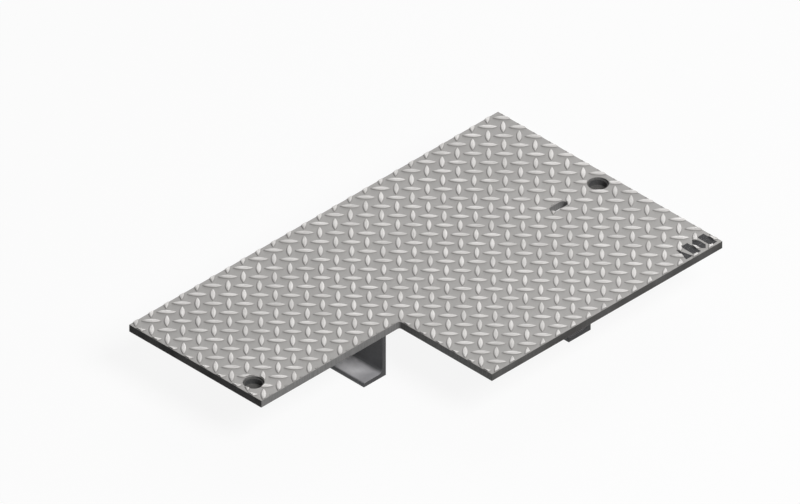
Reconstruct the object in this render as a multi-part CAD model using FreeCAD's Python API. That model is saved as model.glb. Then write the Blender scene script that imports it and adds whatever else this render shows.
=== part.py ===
import FreeCAD, Part
import math
import os

# Cable pit cover: an L-shaped plate cut from steel tread sheet, with two angle ribs
# welded underneath and plastic plugs in its lifting holes.
# Millimetres. X runs along the cover, Y across it and Z up.
# The origin lies below the middle of the plate's outline, level with the ribs' feet.

# Outline of the plate, with a notch in its front left corner
cover_length = 600.0
cover_width = 365.0
notch_length = 225.0
notch_width = 150.0
notch_corner_radius = 3.0

# Tread sheet that the plate is cut from
sheet_thickness = 10.0
tread_pitch_x = 24.85
tread_pitch_y = 26.0
tread_start_x = 23.0
tread_start_y = 13.2

# One lug of the tread: a low hipped ridge with pointed ends
lug_angle = 45.0
lug_height = 1.5
lug_width = 7.0
lug_side_length = 9.0
lug_end_slope = 6.0
lug_gap = 2.5

# Lifting holes and key slot, on a line beside the notch
lifting_hole_diameter = 25.0
lifting_hole_to_end = 20.0
lifting_line_to_notch = 32.5
key_slot_length = 25.0
key_slot_width = 10.0
key_slot_to_hole = 64.5

# Plastic plugs in the lifting holes: a cup with a lip that lies under the plate
plug_sink = 2.5
plug_wall = 1.8
plug_floor = 2.0
plug_clearance = 0.1
plug_lip_width = 1.5
plug_lip_height = 1.5

# Angle ribs, standing on their feet with the other leg against the plate
rib_height = 56.0
rib_foot_width = 36.0
rib_thickness = 6.0
rib_root_radius = 6.0
rib_toe_radius = 3.0
left_rib_to_notch = 21.0
rib_spacing = 230.0
rib_back_margin = 48.0
left_rib_front_margin = 1.0
right_rib_front_margin = 48.0

# Weld stitches along both sides of each rib
weld_leg = 5.0
weld_bulge = 0.5
weld_stitch_length = 30.0
weld_end_margin = 12.0
weld_stitch_spacing = 65.0

# Edges and levels of the plate
left_end = -cover_length / 2
right_end = cover_length / 2
back_edge = cover_width / 2
front_edge = -cover_width / 2
notch_side = left_end + notch_length
notch_edge = front_edge + notch_width
plate_bottom = rib_height
plate_top = plate_bottom + sheet_thickness

# Holes of the plate
lifting_line = notch_edge + lifting_line_to_notch
left_hole_x = left_end + lifting_hole_to_end
right_hole_x = right_end - lifting_hole_to_end
key_slot_x = right_hole_x - key_slot_to_hole

# Places of the ribs: the outer face of the standing leg, and the rib's two ends
left_rib_face = notch_side - left_rib_to_notch
right_rib_face = left_rib_face + rib_spacing
rib_back = back_edge - rib_back_margin
left_rib_front = notch_edge + left_rib_front_margin
right_rib_front = front_edge + right_rib_front_margin

# Each lug ends one gap short of the side of the neighbour that it points at
lug_turn = math.radians(lug_angle)
neighbour_distance = (tread_pitch_x * math.sin(lug_turn) + tread_pitch_y * math.cos(lug_turn)) / 2
lug_reach = (neighbour_distance - lug_width / 2 - lug_gap) / math.sin(2 * lug_turn)

# Cutting bodies pass the faces that they cut by this much
cut_overrun = 5.0


def closed_wire(points):
    return Part.makePolygon(points + points[:1])


def lug():
    """One lug at the origin, along X, standing on Z = 0."""
    side = lug_width / 2
    shoulder = lug_side_length / 2
    ridge = lug_reach - lug_end_slope
    left_tip = FreeCAD.Vector(-lug_reach, 0, 0)
    right_tip = FreeCAD.Vector(lug_reach, 0, 0)
    front_left = FreeCAD.Vector(-shoulder, -side, 0)
    front_right = FreeCAD.Vector(shoulder, -side, 0)
    back_right = FreeCAD.Vector(shoulder, side, 0)
    back_left = FreeCAD.Vector(-shoulder, side, 0)
    ridge_left = FreeCAD.Vector(-ridge, 0, lug_height)
    ridge_right = FreeCAD.Vector(ridge, 0, lug_height)
    faces = [
        [left_tip, front_left, front_right, right_tip, back_right, back_left],
        [front_left, front_right, ridge_right, ridge_left],
        [back_right, back_left, ridge_left, ridge_right],
        [left_tip, front_left, ridge_left],
        [left_tip, ridge_left, back_left],
        [right_tip, ridge_right, front_right],
        [right_tip, back_right, ridge_right],
    ]
    shell = Part.Shell([Part.Face(closed_wire(points)) for points in faces])
    shell.sewShape()
    return Part.Solid(shell)


def places(start, pitch, low, high):
    """Start plus every whole number of pitches that lies from low to high."""
    first = math.ceil((low - start) / pitch)
    last = math.floor((high - start) / pitch)
    return [start + pitch * number for number in range(first, last + 1)]


def lug_placements():
    """Rows of lugs that lean one way, between rows that lean the other; the notch needs none."""
    placements = []
    for shift, angle in ((0.0, -lug_angle), (0.5, lug_angle)):
        turn = FreeCAD.Rotation(FreeCAD.Vector(0, 0, 1), angle)
        start_x = left_end + tread_start_x + shift * tread_pitch_x
        start_y = front_edge + (cover_width - tread_start_y) - shift * tread_pitch_y
        for x in places(start_x, tread_pitch_x, left_end - lug_reach, right_end + lug_reach):
            for y in places(start_y, tread_pitch_y, front_edge - lug_reach, back_edge + lug_reach):
                in_notch = x < notch_side - lug_reach and y < notch_edge - lug_reach
                if not in_notch:
                    placements.append(FreeCAD.Placement(FreeCAD.Vector(x, y, plate_top), turn))
    return placements


def tread_sheet():
    """A rectangle of tread sheet, larger than the cover, with the lugs rolled onto its top face."""
    border = 2 * lug_reach
    corner = FreeCAD.Vector(left_end - border, front_edge - border, plate_bottom)
    blank = Part.makeBox(cover_length + 2 * border, cover_width + 2 * border, sheet_thickness, corner)
    top_face = max(blank.Faces, key=lambda face: face.CenterOfMass.z)
    skin = [face for face in blank.Faces if not face.isSame(top_face)]

    # The foot of each lug is a hole in the top face, and its other faces close that hole
    foot_outlines = []
    pattern_lug = lug()
    for placement in lug_placements():
        copy = pattern_lug.copy()
        copy.transformShape(placement.toMatrix())
        foot = min(copy.Faces, key=lambda face: face.CenterOfMass.z)
        foot_outlines.append(foot.OuterWire)
        skin.extend(face for face in copy.Faces if not face.isSame(foot))
    skin.append(Part.Face([top_face.OuterWire] + foot_outlines))
    return Part.Solid(Part.Shell(skin))


def outline_prism(bottom, height):
    """The L-shaped outline, with a small radius in the notch's inner corner."""
    arc_start = FreeCAD.Vector(notch_side, notch_edge - notch_corner_radius, bottom)
    arc_end = FreeCAD.Vector(notch_side - notch_corner_radius, notch_edge, bottom)
    to_arc = notch_corner_radius * (1 - math.sqrt(0.5))
    arc_middle = FreeCAD.Vector(notch_side - to_arc, notch_edge - to_arc, bottom)
    straight_edges = Part.makePolygon([
        arc_end,
        FreeCAD.Vector(left_end, notch_edge, bottom),
        FreeCAD.Vector(left_end, back_edge, bottom),
        FreeCAD.Vector(right_end, back_edge, bottom),
        FreeCAD.Vector(right_end, front_edge, bottom),
        FreeCAD.Vector(notch_side, front_edge, bottom),
        arc_start,
    ])
    corner = Part.Arc(arc_start, arc_middle, arc_end).toShape()
    outline = Part.Wire(straight_edges.Edges + [corner])
    return Part.Face(outline).extrude(FreeCAD.Vector(0, 0, height))


def round_hole(x, bottom, height):
    return Part.makeCylinder(lifting_hole_diameter / 2, height, FreeCAD.Vector(x, lifting_line, bottom))


def key_slot(bottom, height):
    """A slot along X with round ends."""
    radius = key_slot_width / 2
    straight = key_slot_length - key_slot_width
    left = key_slot_x - straight / 2
    middle = Part.makeBox(straight, key_slot_width, height, FreeCAD.Vector(left, lifting_line - radius, bottom))
    left_end_round = Part.makeCylinder(radius, height, FreeCAD.Vector(left, lifting_line, bottom))
    right_end_round = Part.makeCylinder(radius, height, FreeCAD.Vector(left + straight, lifting_line, bottom))
    return middle.fuse([left_end_round, right_end_round]).removeSplitter()


def cover_plate():
    """The plate, cut out of the tread sheet, so that lugs at its edges and holes are cut through."""
    bottom = plate_bottom - cut_overrun
    height = sheet_thickness + lug_height + 2 * cut_overrun
    shape = outline_prism(bottom, height)
    shape = shape.cut(round_hole(left_hole_x, bottom, height))
    shape = shape.cut(round_hole(right_hole_x, bottom, height))
    shape = shape.cut(key_slot(bottom, height))
    return tread_sheet().common(shape).Solids[0]


def hole_plug(x):
    """A cup in a lifting hole, open at the top, with its rim below the tread."""
    hole_radius = lifting_hole_diameter / 2
    cup_radius = hole_radius - plug_clearance
    place = FreeCAD.Vector(x, lifting_line, plate_bottom - plug_lip_height)
    height = sheet_thickness - plug_sink + plug_lip_height
    lip = Part.makeCylinder(hole_radius + plug_lip_width, plug_lip_height, place)
    cup = Part.makeCylinder(cup_radius, height, place)
    cavity = Part.makeCylinder(cup_radius - plug_wall, height, place + FreeCAD.Vector(0, 0, plug_floor))
    return cup.fuse(lip).cut(cavity).removeSplitter()


def angle_rib(outer_face, front):
    """A length of rolled angle: one leg stands under the plate, the foot points to -X."""
    inner_face = outer_face - rib_thickness
    toe = outer_face - rib_foot_width
    middle_of_arc = math.sqrt(0.5)

    def point(x, z):
        return FreeCAD.Vector(x, front, z)

    root_x = inner_face - rib_root_radius
    root_z = rib_thickness + rib_root_radius
    root_middle = point(root_x + rib_root_radius * middle_of_arc, root_z - rib_root_radius * middle_of_arc)
    toe_x = toe + rib_toe_radius
    toe_z = rib_thickness - rib_toe_radius
    toe_middle = point(toe_x - rib_toe_radius * middle_of_arc, toe_z + rib_toe_radius * middle_of_arc)
    edges = [
        Part.makeLine(point(outer_face, 0), point(outer_face, rib_height)),
        Part.makeLine(point(outer_face, rib_height), point(inner_face, rib_height)),
        Part.makeLine(point(inner_face, rib_height), point(inner_face, root_z)),
        Part.Arc(point(inner_face, root_z), root_middle, point(root_x, rib_thickness)).toShape(),
        Part.makeLine(point(root_x, rib_thickness), point(toe_x, rib_thickness)),
        Part.Arc(point(toe_x, rib_thickness), toe_middle, point(toe, toe_z)).toShape(),
        Part.makeLine(point(toe, toe_z), point(toe, 0)),
        Part.makeLine(point(toe, 0), point(outer_face, 0)),
    ]
    return Part.Face(Part.Wire(edges)).extrude(FreeCAD.Vector(0, rib_back - front, 0))


def weld_stitch(leg_face, side, start):
    """A fillet weld in the corner of the plate and a leg face; side is +1 or -1 along X."""
    corner = FreeCAD.Vector(leg_face, start, plate_bottom)
    on_plate = corner + FreeCAD.Vector(side * weld_leg, 0, 0)
    on_rib = corner + FreeCAD.Vector(0, 0, -weld_leg)
    outward = FreeCAD.Vector(side, 0, -1).normalize()
    crown = (on_plate + on_rib) * 0.5 + outward * weld_bulge
    edges = [
        Part.makeLine(corner, on_plate),
        Part.Arc(on_plate, crown, on_rib).toShape(),
        Part.makeLine(on_rib, corner),
    ]
    return Part.Face(Part.Wire(edges)).extrude(FreeCAD.Vector(0, weld_stitch_length, 0))


def rib_welds(outer_face, front):
    """Stitches in line on both sides of the standing leg, evenly spread between its ends."""
    run = rib_back - front - 2 * weld_end_margin - weld_stitch_length
    steps = math.ceil(run / weld_stitch_spacing)
    stitches = []
    for number in range(steps + 1):
        start = front + weld_end_margin + run * number / steps
        stitches.append(weld_stitch(outer_face, 1, start))
        stitches.append(weld_stitch(outer_face - rib_thickness, -1, start))
    return Part.makeCompound(stitches)


nodes = {
    "cover_plate": cover_plate(),
    "left_hole_plug": hole_plug(left_hole_x),
    "right_hole_plug": hole_plug(right_hole_x),
    "rib_left": angle_rib(left_rib_face, left_rib_front),
    "rib_right": angle_rib(right_rib_face, right_rib_front),
    "rib_left_welds": rib_welds(left_rib_face, left_rib_front),
    "rib_right_welds": rib_welds(right_rib_face, right_rib_front),
}

os.makedirs("parts", exist_ok=True)
for name, shape in nodes.items():
    shape.exportStep("parts/" + name + ".step")
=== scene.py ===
import math

import bpy
from mathutils import Matrix, Vector


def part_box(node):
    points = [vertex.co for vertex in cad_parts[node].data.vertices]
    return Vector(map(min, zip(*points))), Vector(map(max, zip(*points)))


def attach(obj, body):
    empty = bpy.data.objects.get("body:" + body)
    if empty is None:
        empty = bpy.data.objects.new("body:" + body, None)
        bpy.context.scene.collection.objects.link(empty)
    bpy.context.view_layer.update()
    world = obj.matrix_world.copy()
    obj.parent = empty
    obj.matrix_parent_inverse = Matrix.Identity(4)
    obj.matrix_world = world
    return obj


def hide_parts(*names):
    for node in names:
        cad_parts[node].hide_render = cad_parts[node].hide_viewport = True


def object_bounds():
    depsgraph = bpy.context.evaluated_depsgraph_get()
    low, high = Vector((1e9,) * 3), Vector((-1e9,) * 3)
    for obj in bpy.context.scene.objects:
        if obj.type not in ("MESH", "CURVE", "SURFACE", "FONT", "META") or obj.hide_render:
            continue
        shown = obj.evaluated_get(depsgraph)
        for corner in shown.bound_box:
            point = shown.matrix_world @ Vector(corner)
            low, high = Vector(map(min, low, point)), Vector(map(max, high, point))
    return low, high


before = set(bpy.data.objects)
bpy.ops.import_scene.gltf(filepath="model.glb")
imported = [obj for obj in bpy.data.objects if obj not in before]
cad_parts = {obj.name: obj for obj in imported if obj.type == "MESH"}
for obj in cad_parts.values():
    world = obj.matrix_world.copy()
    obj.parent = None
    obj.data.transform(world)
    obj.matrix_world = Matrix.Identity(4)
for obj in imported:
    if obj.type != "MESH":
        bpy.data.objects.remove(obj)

cad_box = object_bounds()


# The cover plate, cut from a sheet
# One piece of rolled steel tread sheet, 10 mm thick and hot-dip galvanised. It is cut to an L,
# drilled for two lifting holes and slotted for a key, and its cut edges are dressed with a file.
plate_low, plate_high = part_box("cover_plate")
sheet_thickness = 0.010
lug_height = 0.0015
plate_bottom = plate_low.z
plate_top = plate_bottom + sheet_thickness
notch_length = 0.225
notch_width = 0.150
notch_corner_radius = 0.003
notch_side = plate_low.x + notch_length
notch_edge = plate_low.y + notch_width

lifting_hole_radius = 0.0125
lifting_hole_to_end = 0.020
lifting_line = notch_edge + 0.0325
left_hole_x = plate_low.x + lifting_hole_to_end
right_hole_x = plate_high.x - lifting_hole_to_end
key_slot_x = right_hole_x - 0.0645
key_slot_length = 0.025
key_slot_width = 0.010

dressed_edge = 0.0006
dressed_angle = math.radians(40)
cut_overrun = 0.005
hole_corners = 64
merge_distance = 0.00002

# Just short of the whole half width, so that the slot's round ends keep an edge between their arcs
slot_rounding = 0.999


def deselect_all():
    bpy.ops.object.select_all(action="DESELECT")


def pick(piece):
    deselect_all()
    piece.select_set(True)
    bpy.context.view_layer.objects.active = piece


def apply_place(piece):
    pick(piece)
    bpy.ops.object.transform_apply(location=True, rotation=True, scale=True)


def add_block(name, low, high):
    deselect_all()
    low = Vector(low)
    high = Vector(high)
    bpy.ops.mesh.primitive_cube_add(size=1, location=(low + high) / 2, scale=high - low)
    block = bpy.context.object
    block.name = name
    apply_place(block)
    return block


def add_upright_cylinder(name, radius, x, y, bottom, top, corners):
    deselect_all()
    bpy.ops.mesh.primitive_cylinder_add(
        vertices=corners, radius=radius, depth=top - bottom, location=(x, y, (bottom + top) / 2))
    cylinder = bpy.context.object
    cylinder.name = name
    apply_place(cylinder)
    return cylinder


def apply_modifier(piece, kind, **settings):
    pick(piece)
    modifier = piece.modifiers.new(kind.title(), kind)
    for setting, value in settings.items():
        setattr(modifier, setting, value)
    bpy.ops.object.modifier_apply(modifier=modifier.name)


def combine(piece, tool, operation):
    """Joins, cuts or trims a piece by a closed tool body, which is used up."""
    apply_modifier(piece, "BOOLEAN", object=tool, operation=operation, solver="MANIFOLD")
    bpy.data.objects.remove(tool)


def edit(piece, choose, kind):
    """Opens a piece in edit mode with only the vertices, edges or faces that choose() accepts."""
    pick(piece)
    bpy.ops.object.mode_set(mode="EDIT")
    bpy.ops.mesh.select_mode(type=kind)
    bpy.ops.mesh.select_all(action="DESELECT")
    bpy.ops.object.mode_set(mode="OBJECT")
    members = {"VERT": piece.data.vertices, "EDGE": piece.data.edges, "FACE": piece.data.polygons}[kind]
    for member in members:
        member.select = choose(member)
    bpy.ops.object.mode_set(mode="EDIT")


def close_edit():
    bpy.ops.object.mode_set(mode="OBJECT")


def edge_ends(piece, member):
    return [piece.data.vertices[index].co for index in member.vertices]


def near(value, target):
    return abs(value - target) < 1e-5


def plate_blank(name, bottom, top, margin):
    """The L outline between two levels, drawn in by a margin at its rim and round its holes."""
    blank = add_block(
        name,
        (plate_low.x + margin, plate_low.y + margin, bottom),
        (plate_high.x - margin, plate_high.y - margin, top))

    # The notch, with a small radius in its inner corner
    low = bottom - cut_overrun
    high = top + cut_overrun
    notch = add_block(
        "notch_cut",
        (plate_low.x - cut_overrun, plate_low.y - cut_overrun, low),
        (notch_side + margin, notch_edge + margin, high))

    def inner_corner(edge):
        ends = edge_ends(notch, edge)
        return all(near(end.x, notch_side + margin) and near(end.y, notch_edge + margin) for end in ends)

    edit(notch, inner_corner, "EDGE")
    bpy.ops.mesh.bevel(offset=notch_corner_radius, segments=6, affect="EDGES")
    close_edit()
    combine(blank, notch, "DIFFERENCE")

    for hole_x in (left_hole_x, right_hole_x):
        hole = add_upright_cylinder(
            "lifting_hole_cut", lifting_hole_radius + margin, hole_x, lifting_line, low, high, hole_corners)
        combine(blank, hole, "DIFFERENCE")

    # The key slot is a block whose upright edges are rounded until its ends are half circles
    slot_cut = add_block(
        "key_slot_cut",
        (key_slot_x - key_slot_length / 2 - margin, lifting_line - key_slot_width / 2 - margin, low),
        (key_slot_x + key_slot_length / 2 + margin, lifting_line + key_slot_width / 2 + margin, high))

    def upright(edge):
        first, second = edge_ends(slot_cut, edge)
        return near(first.x, second.x) and near(first.y, second.y)

    edit(slot_cut, upright, "EDGE")
    bpy.ops.mesh.bevel(offset=(key_slot_width / 2 + margin) * slot_rounding, segments=8, affect="EDGES")
    close_edit()
    combine(blank, slot_cut, "DIFFERENCE")
    return blank


cover_plate = plate_blank("tread_cover_plate", plate_bottom, plate_top, 0.0)

# The tiny edges between the arcs of the slot's ends go, so that the edges can be dressed
edit(cover_plate, lambda vertex: True, "VERT")
bpy.ops.mesh.remove_doubles(threshold=merge_distance)
close_edit()
apply_modifier(
    cover_plate, "BEVEL", width=dressed_edge, segments=2, use_clamp_overlap=False, loop_slide=False,
    limit_method="ANGLE", angle_limit=dressed_angle)


# The tread of the cover plate
# Pointed lugs that the mill rolls up out of the sheet, 1.5 mm high, in rows that lean one way
# between rows that lean the other. Lugs at the edges and holes are cut through with the plate.
tread_pitch_x = 0.02485
tread_pitch_y = 0.026
tread_start_x = 0.023
tread_start_y = 0.0132
lug_width = 0.007
lug_gap = 0.0025
lug_reach = (tread_pitch_x + tread_pitch_y) / 2 * math.sqrt(0.5) - lug_width / 2 - lug_gap
lug_root = 0.001
lug_foot = 0.0002
lug_corners = 32
lug_to_dressed_edge = 0.0001

# Each step draws the top of a lug in by the first measure and up by the second
lug_steps = ((0.0005, 0.0006), (0.0007, 0.0005), (0.0008, 0.00019))


def model_lug():
    """One lug along X: the lens where two round discs overlap, drawn in to a rounded crown."""
    side_radius = (lug_reach ** 2 + (lug_width / 2) ** 2) / lug_width
    disc_offset = side_radius - lug_width / 2
    lug = add_upright_cylinder(
        "tread_lug", side_radius, 0, disc_offset, plate_top - lug_root, plate_top + lug_foot, lug_corners)
    other_disc = add_upright_cylinder(
        "lug_side", side_radius, 0, -disc_offset, plate_top - lug_root, plate_top + lug_foot, lug_corners)
    combine(lug, other_disc, "INTERSECT")

    edit(lug, lambda face: face.normal.z > 0.9, "FACE")
    for drawn_in, raised in lug_steps:
        bpy.ops.mesh.inset(thickness=drawn_in, depth=raised)
    close_edit()
    return lug


def tread_rows(lug, shift, lean):
    """A copy of the lug, leaned over and repeated over the whole cover."""
    pick(lug)
    bpy.ops.object.duplicate()
    rows = bpy.context.object
    rows.rotation_euler.z = lean
    columns_before = math.ceil((tread_start_x + shift * tread_pitch_x) / tread_pitch_x)
    rows_before = math.ceil((tread_start_y + shift * tread_pitch_y) / tread_pitch_y)
    rows.location.x = plate_low.x + tread_start_x + (shift - columns_before) * tread_pitch_x
    rows.location.y = plate_high.y - tread_start_y - (shift - rows_before) * tread_pitch_y
    apply_place(rows)
    columns = math.ceil((plate_high.x - plate_low.x) / tread_pitch_x) + columns_before + 1
    lines = math.ceil((plate_high.y - plate_low.y) / tread_pitch_y) + rows_before + 1
    apply_modifier(
        rows, "ARRAY", count=columns, use_relative_offset=False,
        use_constant_offset=True, constant_offset_displace=(tread_pitch_x, 0, 0))
    apply_modifier(
        rows, "ARRAY", count=lines, use_relative_offset=False,
        use_constant_offset=True, constant_offset_displace=(0, -tread_pitch_y, 0))
    return rows


single_lug = model_lug()
tread = tread_rows(single_lug, 0.0, math.radians(-45))
other_tread = tread_rows(single_lug, 0.5, math.radians(45))
bpy.data.objects.remove(single_lug)
pick(tread)
other_tread.select_set(True)
bpy.ops.object.join()

trim_margin = dressed_edge + lug_to_dressed_edge
trim = plate_blank("tread_trim", plate_top - 2 * lug_root, plate_top + 2 * lug_height, trim_margin)
combine(tread, trim, "INTERSECT")
combine(cover_plate, tread, "UNION")


# The recesses for the match marks
# Four plain shapes, milled 0.4 mm deep through the tread at the right end of the cover, beside
# the front corner. The same shapes serve for the paint that fills them.
mark_depth = 0.0004
mark_height = 0.0225
mark_width = 0.0106
mark_step = 0.0132
first_mark_x = plate_high.x - 0.0500
mark_row_y = plate_low.y + 0.0148
mark_corners = [3, 4, 6, 4]
mark_turns = [0, 45, 0, 45]
smooth_angle = math.radians(38)


def mark_bodies(name, bottom, top):
    """Bodies of the marks between two levels: each is a regular polygon, stretched to a mark's size."""
    marks = []
    for number, (corners, turn) in enumerate(zip(mark_corners, mark_turns)):
        deselect_all()
        bpy.ops.mesh.primitive_circle_add(vertices=corners, radius=0.5, fill_type="NGON")
        mark = bpy.context.object
        mark.rotation_euler.z = math.radians(turn)
        apply_place(mark)
        mark.scale = (mark_width / mark.dimensions.x, mark_height / mark.dimensions.y, 1)
        low_y = min(vertex.co.y for vertex in mark.data.vertices) * mark.scale.y
        mark.location = (first_mark_x + number * mark_step, mark_row_y - mark_height / 2 - low_y, bottom)
        apply_place(mark)
        edit(mark, lambda face: True, "FACE")
        bpy.ops.mesh.extrude_region_move(TRANSFORM_OT_translate={"value": (0, 0, top - bottom)})
        bpy.ops.mesh.select_all(action="SELECT")
        bpy.ops.mesh.normals_make_consistent(inside=False)
        close_edit()
        marks.append(mark)
    pick(marks[0])
    for mark in marks:
        mark.select_set(True)
    bpy.ops.object.join()
    marks[0].name = name
    return marks[0]


recesses = mark_bodies("mark_recesses", plate_top - mark_depth, plate_top + 2 * lug_height)
combine(cover_plate, recesses, "DIFFERENCE")
pick(cover_plate)
bpy.ops.object.shade_smooth_by_angle(angle=smooth_angle)
apply_modifier(cover_plate, "WEIGHTED_NORMAL", keep_sharp=True)


# The galvanised finish of the cover plate
# Zinc over rolled steel: a dull mid grey with faint crystals and cloudy patches, rubbed lighter
# and smoother on the crowns of the lugs, with dirt and painted shade at their feet and rougher cut edges.
zinc_light = (0.357, 0.347, 0.337)
zinc_dark = (0.305, 0.297, 0.288)
rubbed_zinc = (0.645, 0.628, 0.614)
# The colour at the lugs' feet is dirt and painted shade
foot_dirt_and_shade = (0.16, 0.155, 0.145)
cut_light = (0.25, 0.247, 0.244)
cut_dark = (0.185, 0.183, 0.181)
# Colours of the darkened outer rim: its sides darker, its ends darker still as painted shade
outer_side_dark = (0.072, 0.07, 0.068)
end_painted_shade = (0.034, 0.033, 0.032)


class NodeSheet:
    """The nodes of one material, laid out as they are added."""

    def __init__(self, name):
        self.material = bpy.data.materials.new(name)
        self.material.use_nodes = True
        self.nodes = self.material.node_tree.nodes
        self.links = self.material.node_tree.links
        self.shader = self.nodes["Principled BSDF"]
        self.place = self.add("ShaderNodeTexCoord").outputs["Object"]

    def add(self, kind, **settings):
        node = self.nodes.new(kind)
        for setting, value in settings.items():
            setattr(node, setting, value)
        return node

    def link(self, source, target):
        self.links.new(source, target)

    def noise(self, scale, detail=3.0, stretch=(1, 1, 1)):
        mapping = self.add("ShaderNodeMapping")
        mapping.inputs["Scale"].default_value = stretch
        self.link(self.place, mapping.inputs["Vector"])
        noise = self.add("ShaderNodeTexNoise")
        noise.inputs["Scale"].default_value = scale
        noise.inputs["Detail"].default_value = detail
        self.link(mapping.outputs["Vector"], noise.inputs["Vector"])
        return noise.outputs["Fac"]

    def crystals(self, scale):
        cells = self.add("ShaderNodeTexVoronoi")
        cells.inputs["Scale"].default_value = scale
        self.link(self.place, cells.inputs["Vector"])
        grey = self.add("ShaderNodeRGBToBW")
        self.link(cells.outputs["Color"], grey.inputs["Color"])
        return grey.outputs["Val"]

    def spread(self, value, from_low, from_high, to_low, to_high):
        ranged = self.add("ShaderNodeMapRange")
        ranged.inputs["From Min"].default_value = from_low
        ranged.inputs["From Max"].default_value = from_high
        ranged.inputs["To Min"].default_value = to_low
        ranged.inputs["To Max"].default_value = to_high
        self.link(value, ranged.inputs["Value"])
        return ranged.outputs["Result"]

    def math(self, operation, first, second):
        node = self.add("ShaderNodeMath", operation=operation)
        for socket, value in zip(node.inputs, (first, second)):
            if isinstance(value, (int, float)):
                socket.default_value = value
            else:
                self.link(value, socket)
        return node.outputs["Value"]

    def blend(self, amount, first, second):
        """Between two colours or sockets; amount 0 gives the first."""
        mix = self.add("ShaderNodeMix", data_type="RGBA")
        self.link(amount, mix.inputs["Factor"])
        for socket, value in ((mix.inputs["A"], first), (mix.inputs["B"], second)):
            if isinstance(value, tuple):
                socket.default_value = (*value, 1.0)
            else:
                self.link(value, socket)
        return mix.outputs["Result"]

    def facing(self, axis):
        geometry = self.add("ShaderNodeNewGeometry")
        split = self.add("ShaderNodeSeparateXYZ")
        self.link(geometry.outputs["Normal"], split.inputs["Vector"])
        return split.outputs[axis]

    def bump(self, height, distance, before=None):
        node = self.add("ShaderNodeBump")
        node.inputs["Strength"].default_value = 1.0
        node.inputs["Distance"].default_value = distance
        self.link(height, node.inputs["Height"])
        if before is not None:
            self.link(before, node.inputs["Normal"])
        return node.outputs["Normal"]


def zinc_over_steel(name, light, dark):
    """Shared coat of the plate and the ribs: returns its sheet, colour, roughness and bump."""
    sheet = NodeSheet(name)
    clouds = sheet.noise(9.0, 4.0)
    crystals = sheet.crystals(95.0)
    grain = sheet.noise(1400.0, 2.0)
    patch = sheet.math("ADD", sheet.math("MULTIPLY", clouds, 0.55), sheet.math("MULTIPLY", crystals, 0.3))
    patch = sheet.math("ADD", patch, sheet.math("MULTIPLY", grain, 0.15))
    colour = sheet.blend(sheet.spread(patch, 0.3, 0.7, 0.0, 1.0), dark, light)
    roughness = sheet.spread(crystals, 0.0, 1.0, 0.46, 0.6)
    surface = sheet.bump(grain, 0.00006)
    surface = sheet.bump(sheet.noise(160.0, 2.0), 0.00012, surface)
    return sheet, colour, roughness, surface


def tread_finish():
    sheet, colour, roughness, surface = zinc_over_steel("galvanised tread plate", zinc_light, zinc_dark)
    split = sheet.add("ShaderNodeSeparateXYZ")
    sheet.link(sheet.place, split.inputs["Vector"])
    level = split.outputs["Z"]

    # Walking on the lugs keeps their crowns light and smooth
    crown = sheet.spread(level, plate_top + 0.0003, plate_top + 0.0011, 0.0, 1.0)
    wear = sheet.spread(sheet.noise(38.0, 3.0), 0.3, 0.62, 0.6, 1.0)
    rubbed = sheet.math("MULTIPLY", crown, wear)
    colour = sheet.blend(rubbed, colour, rubbed_zinc)
    roughness = sheet.math("SUBTRACT", roughness, sheet.math("MULTIPLY", rubbed, 0.14))

    # Dirt and painted shade darken the corner at each lug's foot
    above_foot = sheet.spread(level, plate_top + 0.00003, plate_top + 0.00006, 0.0, 1.0)
    below_flank = sheet.spread(level, plate_top + 0.0003, plate_top + 0.0009, 1.0, 0.0)
    dirt_and_shade = sheet.math("MULTIPLY", sheet.math("MULTIPLY", above_foot, below_flank), 0.4)
    colour = sheet.blend(dirt_and_shade, colour, foot_dirt_and_shade)

    # The cut rim and the walls of the holes have fine upright drag lines
    flatness = sheet.math("ABSOLUTE", sheet.facing("Z"), 0.0)
    rim = sheet.spread(flatness, 0.15, 0.35, 1.0, 0.0)
    below_top = sheet.spread(level, plate_top - 0.0004, plate_top, 1.0, 0.0)
    rim = sheet.math("MULTIPLY", rim, below_top)
    drag = sheet.noise(1.0, 3.0, (1100.0, 1100.0, 70.0))
    cut_colour = sheet.blend(sheet.spread(drag, 0.35, 0.65, 0.0, 1.0), cut_dark, cut_light)

    # The outer rim is painted darker in patches, and its ends darker still as painted shade
    half_length = (plate_high.x - plate_low.x) / 2
    half_width = (plate_high.y - plate_low.y) / 2
    from_middle_x = sheet.math("ABSOLUTE", split.outputs["X"], 0.0)
    from_middle_y = sheet.math("ABSOLUTE", split.outputs["Y"], 0.0)
    at_end = sheet.spread(
        from_middle_x, half_length - dressed_edge, half_length - dressed_edge / 2, 0.0, 1.0)
    at_side = sheet.spread(
        from_middle_y, half_width - dressed_edge, half_width - dressed_edge / 2, 0.0, 1.0)
    outer = sheet.math("MAXIMUM", at_end, at_side)
    outer_darkening = sheet.math("MULTIPLY", outer, sheet.spread(sheet.noise(30.0, 4.0), 0.3, 0.7, 0.72, 1.0))
    cut_colour = sheet.blend(outer_darkening, cut_colour, sheet.blend(at_end, outer_side_dark, end_painted_shade))
    colour = sheet.blend(rim, colour, cut_colour)
    surface = sheet.bump(sheet.math("MULTIPLY", drag, rim), 0.00025, surface)

    dullness = sheet.math("MULTIPLY", rim, outer_darkening)
    sheet.shader.inputs["Metallic"].default_value = 0.15
    sheet.link(sheet.spread(dullness, 0.0, 1.0, 0.3, 0.08), sheet.shader.inputs["Specular IOR Level"])
    sheet.link(colour, sheet.shader.inputs["Base Color"])
    sheet.link(roughness, sheet.shader.inputs["Roughness"])
    sheet.link(surface, sheet.shader.inputs["Normal"])
    return sheet.material


def finish_with(piece, material):
    piece.data.materials.clear()
    piece.data.materials.append(material)


finish_with(cover_plate, tread_finish())
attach(cover_plate, "root")
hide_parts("cover_plate")


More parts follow.
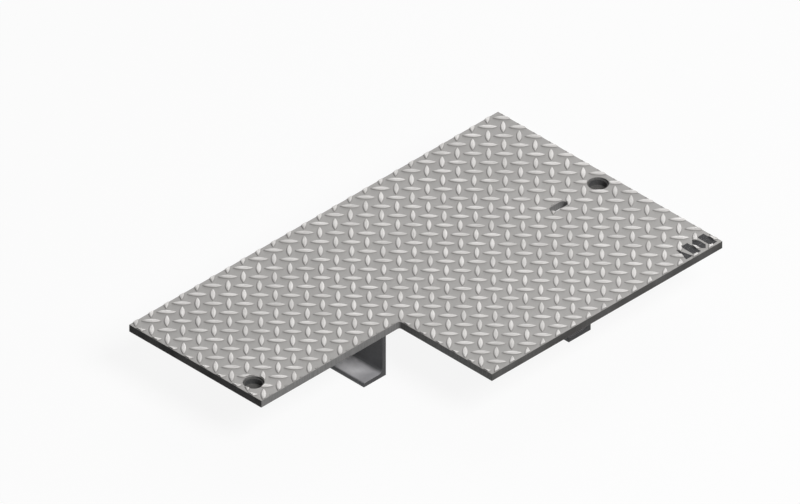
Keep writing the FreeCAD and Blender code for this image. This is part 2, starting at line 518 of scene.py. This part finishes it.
# The match marks at the right end of the cover plate
# Black marking paint in the recesses, 0.2 mm thick, put there by hand so that the cover goes back
# the same way round. It has dried matt and is worn through in specks.
paint_thickness = 0.0002
paint_black = (0.025, 0.025, 0.027)
worn_speck = (0.2, 0.195, 0.19)

match_marks = mark_bodies(
    "match_marks", plate_top - mark_depth, plate_top - mark_depth + paint_thickness)


def mark_paint():
    """Old black marking paint, worn through in specks."""
    sheet = NodeSheet("black marking paint")
    specks = sheet.spread(sheet.noise(900.0, 3.0), 0.62, 0.7, 0.0, 1.0)
    colour = sheet.blend(specks, paint_black, worn_speck)
    sheet.shader.inputs["Specular IOR Level"].default_value = 0.3
    sheet.link(colour, sheet.shader.inputs["Base Color"])
    sheet.link(sheet.spread(specks, 0.0, 1.0, 0.7, 0.5), sheet.shader.inputs["Roughness"])
    sheet.link(sheet.bump(sheet.noise(700.0), 0.00005), sheet.shader.inputs["Normal"])
    return sheet.material


finish_with(match_marks, mark_paint())
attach(match_marks, "root")


# The plugs in the lifting holes
# Moulded polyethylene cups that keep dirt and water out of the pit. Each is pushed in from below
# until its lip meets the plate, with its rim just under the tread, and is knocked out for lifting.
plug_sink = 0.0025
plug_wall = 0.0018
plug_floor = 0.002
plug_clearance = 0.0001
plug_lip_height = 0.0015
plug_edge = 0.0003
arris_angle = math.radians(50)
plug_corners = 72
plug_light = (0.085, 0.084, 0.082)
plug_dark = (0.055, 0.056, 0.058)
road_dust = (0.15, 0.142, 0.13)


def model_plug(name, node):
    low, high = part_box(node)
    lip_radius = (high.x - low.x) / 2
    cup_radius = lifting_hole_radius - plug_clearance
    lip_top = low.z + plug_lip_height
    rim = plate_top - plug_sink
    plug = add_upright_cylinder(
        name, lip_radius, (low.x + high.x) / 2, (low.y + high.y) / 2, low.z, lip_top, plug_corners)

    # The cup's wall rises from the lip, and its hollow goes back down to the floor
    edit(plug, lambda face: face.normal.z > 0.9, "FACE")
    bpy.ops.mesh.inset(thickness=lip_radius - cup_radius)
    bpy.ops.mesh.extrude_region_move(TRANSFORM_OT_translate={"value": (0, 0, rim - lip_top)})
    bpy.ops.mesh.inset(thickness=plug_wall)
    bpy.ops.mesh.extrude_region_move(TRANSFORM_OT_translate={"value": (0, 0, low.z + plug_floor - rim)})
    close_edit()
    apply_modifier(
        plug, "BEVEL", width=plug_edge, segments=2, limit_method="ANGLE", angle_limit=arris_angle)
    pick(plug)
    bpy.ops.object.shade_smooth_by_angle(angle=smooth_angle)
    return plug


def plug_finish():
    sheet = NodeSheet("dark grey polyethylene")
    mottle = sheet.noise(420.0, 4.0)
    colour = sheet.blend(sheet.spread(mottle, 0.35, 0.7, 0.0, 1.0), plug_dark, plug_light)

    # Road dust lies on what faces up
    dust = sheet.math(
        "MULTIPLY", sheet.spread(sheet.facing("Z"), 0.5, 0.95, 0.0, 0.5),
        sheet.spread(sheet.noise(600.0, 3.0), 0.4, 0.65, 0.2, 1.0))
    colour = sheet.blend(dust, colour, road_dust)
    sheet.shader.inputs["Specular IOR Level"].default_value = 0.35
    sheet.link(colour, sheet.shader.inputs["Base Color"])
    sheet.link(sheet.spread(dust, 0.0, 0.5, 0.5, 0.75), sheet.shader.inputs["Roughness"])
    sheet.link(sheet.bump(sheet.noise(1100.0, 2.0), 0.00006), sheet.shader.inputs["Normal"])
    return sheet.material


plug_material = plug_finish()
for node in ("left_hole_plug", "right_hole_plug"):
    plug = model_plug("moulded_" + node, node)
    finish_with(plug, plug_material)
    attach(plug, "root")
    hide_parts(node)


# The two ribs under the cover plate
# Short lengths of rolled steel angle, 56 by 36 mm and 6 mm thick, sawn square at both ends.
# The long leg stands against the plate and is welded to it, the short leg is the foot.
rib_thickness = 0.006
rib_root_radius = 0.006
rib_toe_radius = 0.003
rib_arris = 0.0005
flat_angle = math.radians(1)
angle_light = (0.2, 0.202, 0.21)
angle_dark = (0.165, 0.167, 0.174)
rolled_line = (0.15, 0.15, 0.157)
# The foot's dust colours, lightened further in as painted light where the plate shades the foot
thin_dust_and_light = (0.4, 0.396, 0.41)
painted_light_under_plate = (0.9, 0.89, 0.91)
sawn_end = (0.07, 0.07, 0.072)


def model_rib(name, node):
    low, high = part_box(node)
    inner_face = high.x - rib_thickness
    rib = add_block(name, (inner_face, low.y, low.z), high)

    # The foot is drawn out of the lower end of the standing leg
    edit(rib, lambda face: True, "FACE")
    bpy.ops.mesh.bisect(plane_co=(0, 0, low.z + rib_thickness), plane_no=(0, 0, 1))
    close_edit()
    edit(rib, lambda face: face.normal.x < -0.9 and face.center.z < low.z + rib_thickness, "FACE")
    bpy.ops.mesh.extrude_region_move(TRANSFORM_OT_translate={"value": (low.x - inner_face, 0, 0)})
    close_edit()

    # The mill leaves a root fillet in the corner and a rounded toe
    for edge_x, radius, segments in ((inner_face, rib_root_radius, 8), (low.x, rib_toe_radius, 5)):
        edit(rib, lambda edge: all(
            near(end.x, edge_x) and near(end.z, low.z + rib_thickness)
            for end in edge_ends(rib, edge)), "EDGE")
        bpy.ops.mesh.bevel(offset=radius, segments=segments, affect="EDGES")
        close_edit()

    # The cut's lines in flat faces go, so that the arrises can be rounded all the way round
    edit(rib, lambda face: True, "FACE")
    bpy.ops.mesh.remove_doubles(threshold=merge_distance)
    bpy.ops.mesh.dissolve_limited(angle_limit=flat_angle)
    close_edit()
    apply_modifier(
        rib, "BEVEL", width=rib_arris, segments=2, limit_method="ANGLE", angle_limit=arris_angle)
    pick(rib)
    bpy.ops.object.shade_smooth_by_angle(angle=smooth_angle)
    apply_modifier(rib, "WEIGHTED_NORMAL", keep_sharp=True)
    return rib


def rib_finish():
    sheet, colour, roughness, surface = zinc_over_steel("galvanised angle", angle_light, angle_dark)
    rolled = sheet.noise(1.0, 3.0, (260.0, 5.0, 260.0))
    colour = sheet.blend(sheet.spread(rolled, 0.5, 0.75, 0.0, 0.35), colour, rolled_line)

    # Pale dust on the foot's upper faces, partly painted light, and more painted light further in under the
    # plate
    dust = sheet.math(
        "MULTIPLY", sheet.spread(sheet.facing("Z"), 0.6, 0.95, 0.0, 1.0),
        sheet.spread(sheet.noise(60.0, 4.0), 0.3, 0.6, 0.75, 1.0))
    split = sheet.add("ShaderNodeSeparateXYZ")
    sheet.link(sheet.place, split.inputs["Vector"])
    painted_light_further_in = sheet.spread(split.outputs["Y"], notch_edge + 0.008, notch_edge + 0.045, 0.0, 1.0)
    colour = sheet.blend(dust, colour, sheet.blend(painted_light_further_in, thin_dust_and_light, painted_light_under_plate))

    # The sawn ends have gone dark
    end = sheet.spread(sheet.math("ABSOLUTE", sheet.facing("Y"), 0.0), 0.6, 0.9, 0.0, 1.0)
    colour = sheet.blend(end, colour, sawn_end)
    sheet.shader.inputs["Metallic"].default_value = 0.15
    sheet.shader.inputs["Specular IOR Level"].default_value = 0.3
    sheet.link(colour, sheet.shader.inputs["Base Color"])
    sheet.link(roughness, sheet.shader.inputs["Roughness"])
    sheet.link(sheet.bump(rolled, 0.00015, surface), sheet.shader.inputs["Normal"])
    return sheet.material


rib_material = rib_finish()
for node in ("rib_left", "rib_right"):
    rib = model_rib("angle_" + node, node)
    finish_with(rib, rib_material)
    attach(rib, "root")
    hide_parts(node)


# The welds along the ribs
# Fillet welds in 30 mm stitches, laid in the corners between the plate and both sides of each
# standing leg. The bead cools in ripples, and the zinc goes over it with the rest.
weld_leg = 0.005
weld_bulge = 0.0005
weld_stitch_length = 0.030
weld_stitch_spacing = 0.065
bead_corners = 120
ripple_rings = 30
ripple_size = 0.9
end_taper = (0.45, 0.75, 0.92)
bead_smooth_angle = math.radians(50)
bead_light = (0.34, 0.34, 0.345)
bead_dark = (0.25, 0.25, 0.257)


def model_stitch(leg_face, side, start):
    """One stitch; side is +1 or -1 along X, away from the rib's leg."""
    half_chord = weld_leg * math.sqrt(0.5)
    bead_radius = (half_chord ** 2 + weld_bulge ** 2) / (2 * weld_bulge)
    to_centre = bead_radius - weld_bulge - half_chord
    corner = Vector((leg_face, start, plate_bottom))
    centre = corner - to_centre * Vector((side, 0, -1)).normalized()
    deselect_all()
    bpy.ops.mesh.primitive_cylinder_add(
        vertices=bead_corners, radius=bead_radius, depth=weld_stitch_length,
        location=(centre.x, start + weld_stitch_length / 2, centre.z), rotation=(math.pi / 2, 0, 0))
    stitch = bpy.context.object
    apply_place(stitch)

    # Only what lies below the plate and outside the leg is weld
    for plane_normal in ((0, 0, 1), (-side, 0, 0)):
        edit(stitch, lambda face: True, "FACE")
        bpy.ops.mesh.bisect(plane_co=corner, plane_no=plane_normal, use_fill=True, clear_outer=True)
        close_edit()

    # Rings across the bead, every other one drawn in, and both ends tapered
    edit(stitch, lambda edge: abs(
        edge_ends(stitch, edge)[0].y - edge_ends(stitch, edge)[1].y) > weld_stitch_length / 2, "EDGE")
    bpy.ops.mesh.subdivide(number_cuts=ripple_rings - 1)
    close_edit()
    ring_step = weld_stitch_length / ripple_rings
    for ring in range(ripple_rings + 1):
        from_end = min(ring, ripple_rings - ring)
        taper = end_taper[from_end] if from_end < len(end_taper) else 1.0
        size = taper * (ripple_size if ring % 2 else 1.0)
        ring_y = start + ring * ring_step
        edit(stitch, lambda vertex: abs(vertex.co.y - ring_y) < ring_step / 4, "VERT")
        bpy.ops.transform.resize(value=(size, 1, size), center_override=corner)
        close_edit()
    return stitch


def model_welds(name, weld_node, rib_node):
    weld_low, weld_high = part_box(weld_node)
    rib_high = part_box(rib_node)[1]
    run = weld_high.y - weld_low.y - weld_stitch_length
    steps = math.ceil(run / weld_stitch_spacing)
    stitches = []
    for leg_face, side in ((rib_high.x, 1), (rib_high.x - rib_thickness, -1)):
        pattern = model_stitch(leg_face, side, weld_low.y)
        stitches.append(pattern)
        for step in range(1, steps + 1):
            pick(pattern)
            bpy.ops.object.duplicate()
            stitch = bpy.context.object
            stitch.location.y = run * step / steps
            apply_place(stitch)
            stitches.append(stitch)
    pick(stitches[0])
    for stitch in stitches:
        stitch.select_set(True)
    bpy.ops.object.join()
    welds = bpy.context.object
    welds.name = name
    pick(welds)
    bpy.ops.object.shade_smooth_by_angle(angle=bead_smooth_angle)
    return welds


def weld_finish():
    sheet = NodeSheet("galvanised weld bead")
    tint = sheet.noise(260.0, 3.0)
    colour = sheet.blend(sheet.spread(tint, 0.35, 0.65, 0.0, 1.0), bead_dark, bead_light)
    sheet.shader.inputs["Metallic"].default_value = 0.25
    sheet.shader.inputs["Specular IOR Level"].default_value = 0.4
    sheet.link(colour, sheet.shader.inputs["Base Color"])
    sheet.link(sheet.spread(tint, 0.3, 0.7, 0.36, 0.55), sheet.shader.inputs["Roughness"])
    sheet.link(sheet.bump(sheet.noise(900.0, 2.0), 0.0001), sheet.shader.inputs["Normal"])
    return sheet.material


weld_material = weld_finish()
for side_name in ("left", "right"):
    weld_node = "rib_" + side_name + "_welds"
    welds = model_welds("weld_beads_" + side_name, weld_node, "rib_" + side_name)
    finish_with(welds, weld_material)
    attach(welds, "root")
    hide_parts(weld_node)


# The studio
# A plain white floor and backdrop, which keeps the cover's soft shadow, a large lamp above the
# front, a weak one behind the right end, and a camera that looks along the diagonal of a cube.
floor_size = 14.0
floor_gap = 0.0002
floor_shade = 0.86
floor_bounce = 0.13
floor_glow = 0.9
room_light = 0.08
lamp_distance = 6.0


def white_to_the_eye(nodes, links):
    """1 for what the camera sees directly, in a reflection or through glass, 0 for other light."""
    path = nodes.new("ShaderNodeLightPath")
    direct = nodes.new("ShaderNodeMath")
    direct.operation = "MAXIMUM"
    links.new(path.outputs["Is Camera Ray"], direct.inputs[0])
    links.new(path.outputs["Is Glossy Ray"], direct.inputs[1])
    either = nodes.new("ShaderNodeMath")
    either.operation = "MAXIMUM"
    links.new(direct.outputs["Value"], either.inputs[0])
    links.new(path.outputs["Is Transmission Ray"], either.inputs[1])
    return either.outputs["Value"]


def floor_finish():
    material = bpy.data.materials.new("white floor")
    material.use_nodes = True
    nodes = material.node_tree.nodes
    links = material.node_tree.links
    nodes.remove(nodes["Principled BSDF"])
    seen = white_to_the_eye(nodes, links)
    shaded = nodes.new("ShaderNodeBsdfDiffuse")
    shaded.inputs["Color"].default_value = (floor_shade, floor_shade, floor_shade, 1)
    bounced = nodes.new("ShaderNodeBsdfDiffuse")
    bounced.inputs["Color"].default_value = (floor_bounce, floor_bounce, floor_bounce, 1)
    glow = nodes.new("ShaderNodeEmission")
    glow.inputs["Color"].default_value = (1, 1, 1, 1)
    pale = nodes.new("ShaderNodeMixShader")
    pale.inputs["Fac"].default_value = floor_glow
    links.new(shaded.outputs["BSDF"], pale.inputs[1])
    links.new(glow.outputs["Emission"], pale.inputs[2])
    shown = nodes.new("ShaderNodeMixShader")
    links.new(seen, shown.inputs["Fac"])
    links.new(bounced.outputs["BSDF"], shown.inputs[1])
    links.new(pale.outputs["Shader"], shown.inputs[2])

    # Seen from below, the floor is clear and shows the underside of the cover
    geometry = nodes.new("ShaderNodeNewGeometry")
    clear = nodes.new("ShaderNodeBsdfTransparent")
    one_sided = nodes.new("ShaderNodeMixShader")
    links.new(geometry.outputs["Backfacing"], one_sided.inputs["Fac"])
    links.new(shown.outputs["Shader"], one_sided.inputs[1])
    links.new(clear.outputs["BSDF"], one_sided.inputs[2])
    links.new(one_sided.outputs["Shader"], nodes["Material Output"].inputs["Surface"])
    return material


deselect_all()
bpy.ops.mesh.primitive_plane_add(size=floor_size, location=(0, 0, cad_box[0][2] - floor_gap))
floor = bpy.context.object
floor.name = "studio_floor"
finish_with(floor, floor_finish())

world = bpy.data.worlds.new("studio")
bpy.context.scene.world = world
world.use_nodes = True
world_nodes = world.node_tree.nodes
world_links = world.node_tree.links
backdrop = world_nodes["Background"]
backdrop.inputs["Strength"].default_value = 1.0
backdrop_white = white_to_the_eye(world_nodes, world_links)
backdrop_colour = world_nodes.new("ShaderNodeMix")
backdrop_colour.data_type = "RGBA"
world_links.new(backdrop_white, backdrop_colour.inputs["Factor"])
backdrop_colour.inputs["A"].default_value = (room_light, room_light, room_light, 1)
backdrop_colour.inputs["B"].default_value = (1, 1, 1, 1)
world_links.new(backdrop_colour.outputs["Result"], backdrop.inputs["Color"])


def add_lamp(name, towards, size, energy):
    direction = Vector(towards).normalized()
    deselect_all()
    bpy.ops.object.light_add(type="AREA", location=direction * lamp_distance)
    lamp = bpy.context.object
    lamp.name = name
    lamp.data.shape = "DISK"
    lamp.data.size = size
    lamp.data.energy = energy
    lamp.rotation_euler = direction.to_track_quat("Z", "Y").to_euler()


add_lamp("front_lamp", (0.12, -0.85, 1.0), 3.5, 338)
add_lamp("back_lamp", (0.9, 0.7, 0.4), 4.5, 140)

# The camera is placed so that the left corner of the tread face falls on its pixel of the photo
image_width = 800
image_height = 504
metres_per_pixel = 0.0011497
left_corner = Vector((plate_low.x, plate_high.y, plate_top))
left_corner_pixel = (129.0, 324.5)
camera_distance = 3.0
towards_camera = Vector((-1, -1, 1)).normalized()
camera_right = Vector((1, -1, 0)).normalized()
camera_up = towards_camera.cross(camera_right)
corner_right = (left_corner_pixel[0] - image_width / 2) * metres_per_pixel
corner_up = (image_height / 2 - left_corner_pixel[1]) * metres_per_pixel
across = camera_right * (camera_right.dot(left_corner) - corner_right)
upwards = camera_up * (camera_up.dot(left_corner) - corner_up)
deselect_all()
bpy.ops.object.camera_add()
camera = bpy.context.object
camera.data.type = "ORTHO"
camera.data.ortho_scale = image_width * metres_per_pixel
camera.data.clip_end = 30
camera_turn = Matrix((camera_right, camera_up, towards_camera)).transposed()
camera_place = across + upwards + towards_camera * camera_distance
camera.matrix_world = Matrix.Translation(camera_place) @ camera_turn.to_4x4()
bpy.context.scene.camera = camera
bpy.context.scene.view_settings.view_transform = "Standard"
